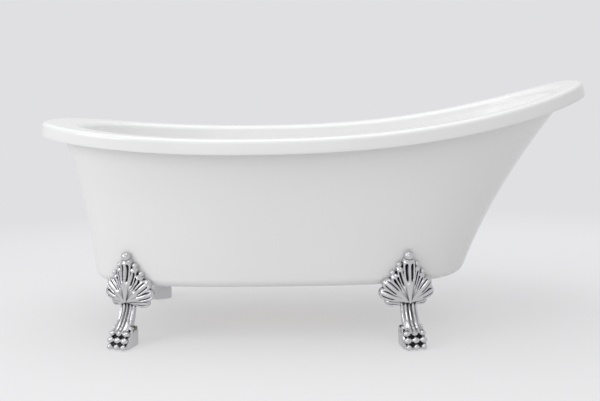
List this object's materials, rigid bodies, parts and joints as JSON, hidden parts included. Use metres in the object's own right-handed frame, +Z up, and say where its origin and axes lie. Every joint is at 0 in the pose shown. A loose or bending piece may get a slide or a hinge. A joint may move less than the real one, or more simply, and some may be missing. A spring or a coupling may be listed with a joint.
{
  "type": "clawfoot bathtub",
  "caption": "Freestanding slipper bath with a rolled rim, a smooth double-skinned tub, and cast claw feet with palmette leaves and levelling pads.",
  "frame": {"origin": "on the floor, midway along and across the bath", "axes": "+X along the bath to its raised head end, -Y to the front, +Z up"},
  "size_m": [1.7, 0.752, 0.7689],
  "materials": {
    "acrylic": "high gloss white",
    "chrome_casting": "polished chrome plate on a casting",
    "chrome_trim": "polished chrome plate",
    "board": "raw board with a thin resin coat",
    "rail_paint": "satin black powder coat",
    "zinc_steel": "bright zinc plate",
    "rubber_seal": "matt black rubber",
    "pad_rubber": "matt black rubber",
    "grey_plastic": "white moulded plastic",
    "hose_plastic": "pale grey flexible plastic"
  },
  "bodies": {
    "root": {"basin": "acrylic", "outer_skirt": "acrylic", "base_board": "board", "cross_rail_left": "rail_paint", "cross_rail_right": "rail_paint", "board_screws": "zinc_steel", "foot_bolts": "zinc_steel", "rail_washers": "zinc_steel", "rail_nuts": "zinc_steel", "foot_studs": "zinc_steel", "backing_washers": "zinc_steel", "stud_nuts": "zinc_steel", "waste_flange": "chrome_trim", "waste_gasket": "rubber_seal", "lower_waste_gasket": "rubber_seal", "waste_back_nut": "grey_plastic", "waste_body": "grey_plastic", "waste_tailpiece": "chrome_trim", "overflow_plate": "chrome_trim", "overflow_screw": "chrome_trim", "overflow_gasket": "rubber_seal", "overflow_elbow": "grey_plastic", "overflow_hose": "hose_plastic", "hose_clips": "zinc_steel", "claw_foot_front_left": "chrome_casting", "claw_foot_front_right": "chrome_casting", "claw_foot_rear_left": "chrome_casting", "claw_foot_rear_right": "chrome_casting"},
    "leveller_front_left": {"levelling_screw_front_left": "zinc_steel", "glide_pad_front_left": "pad_rubber"},
    "leveller_front_right": {"levelling_screw_front_right": "zinc_steel", "glide_pad_front_right": "pad_rubber"},
    "leveller_rear_left": {"levelling_screw_rear_left": "zinc_steel", "glide_pad_rear_left": "pad_rubber"},
    "leveller_rear_right": {"levelling_screw_rear_right": "zinc_steel", "glide_pad_rear_right": "pad_rubber"},
    "plug": {"waste_plug": "chrome_trim"}
  },
  "joints": [
    {"name": "leveller_front_left_slide", "type": "slide", "parent": "root", "child": "leveller_front_left", "axis": [0, 0, -1], "range_m": [0, 0.012]},
    {"name": "leveller_front_right_slide", "type": "slide", "parent": "root", "child": "leveller_front_right", "axis": [0, 0, -1], "range_m": [0, 0.012]},
    {"name": "leveller_rear_left_slide", "type": "slide", "parent": "root", "child": "leveller_rear_left", "axis": [0, 0, -1], "range_m": [0, 0.012]},
    {"name": "leveller_rear_right_slide", "type": "slide", "parent": "root", "child": "leveller_rear_right", "axis": [0, 0, -1], "range_m": [0, 0.012]},
    {"name": "plug_lift", "type": "slide", "parent": "root", "child": "plug", "axis": [0, 0, 1], "range_m": [0, 0.009]}
  ]
}
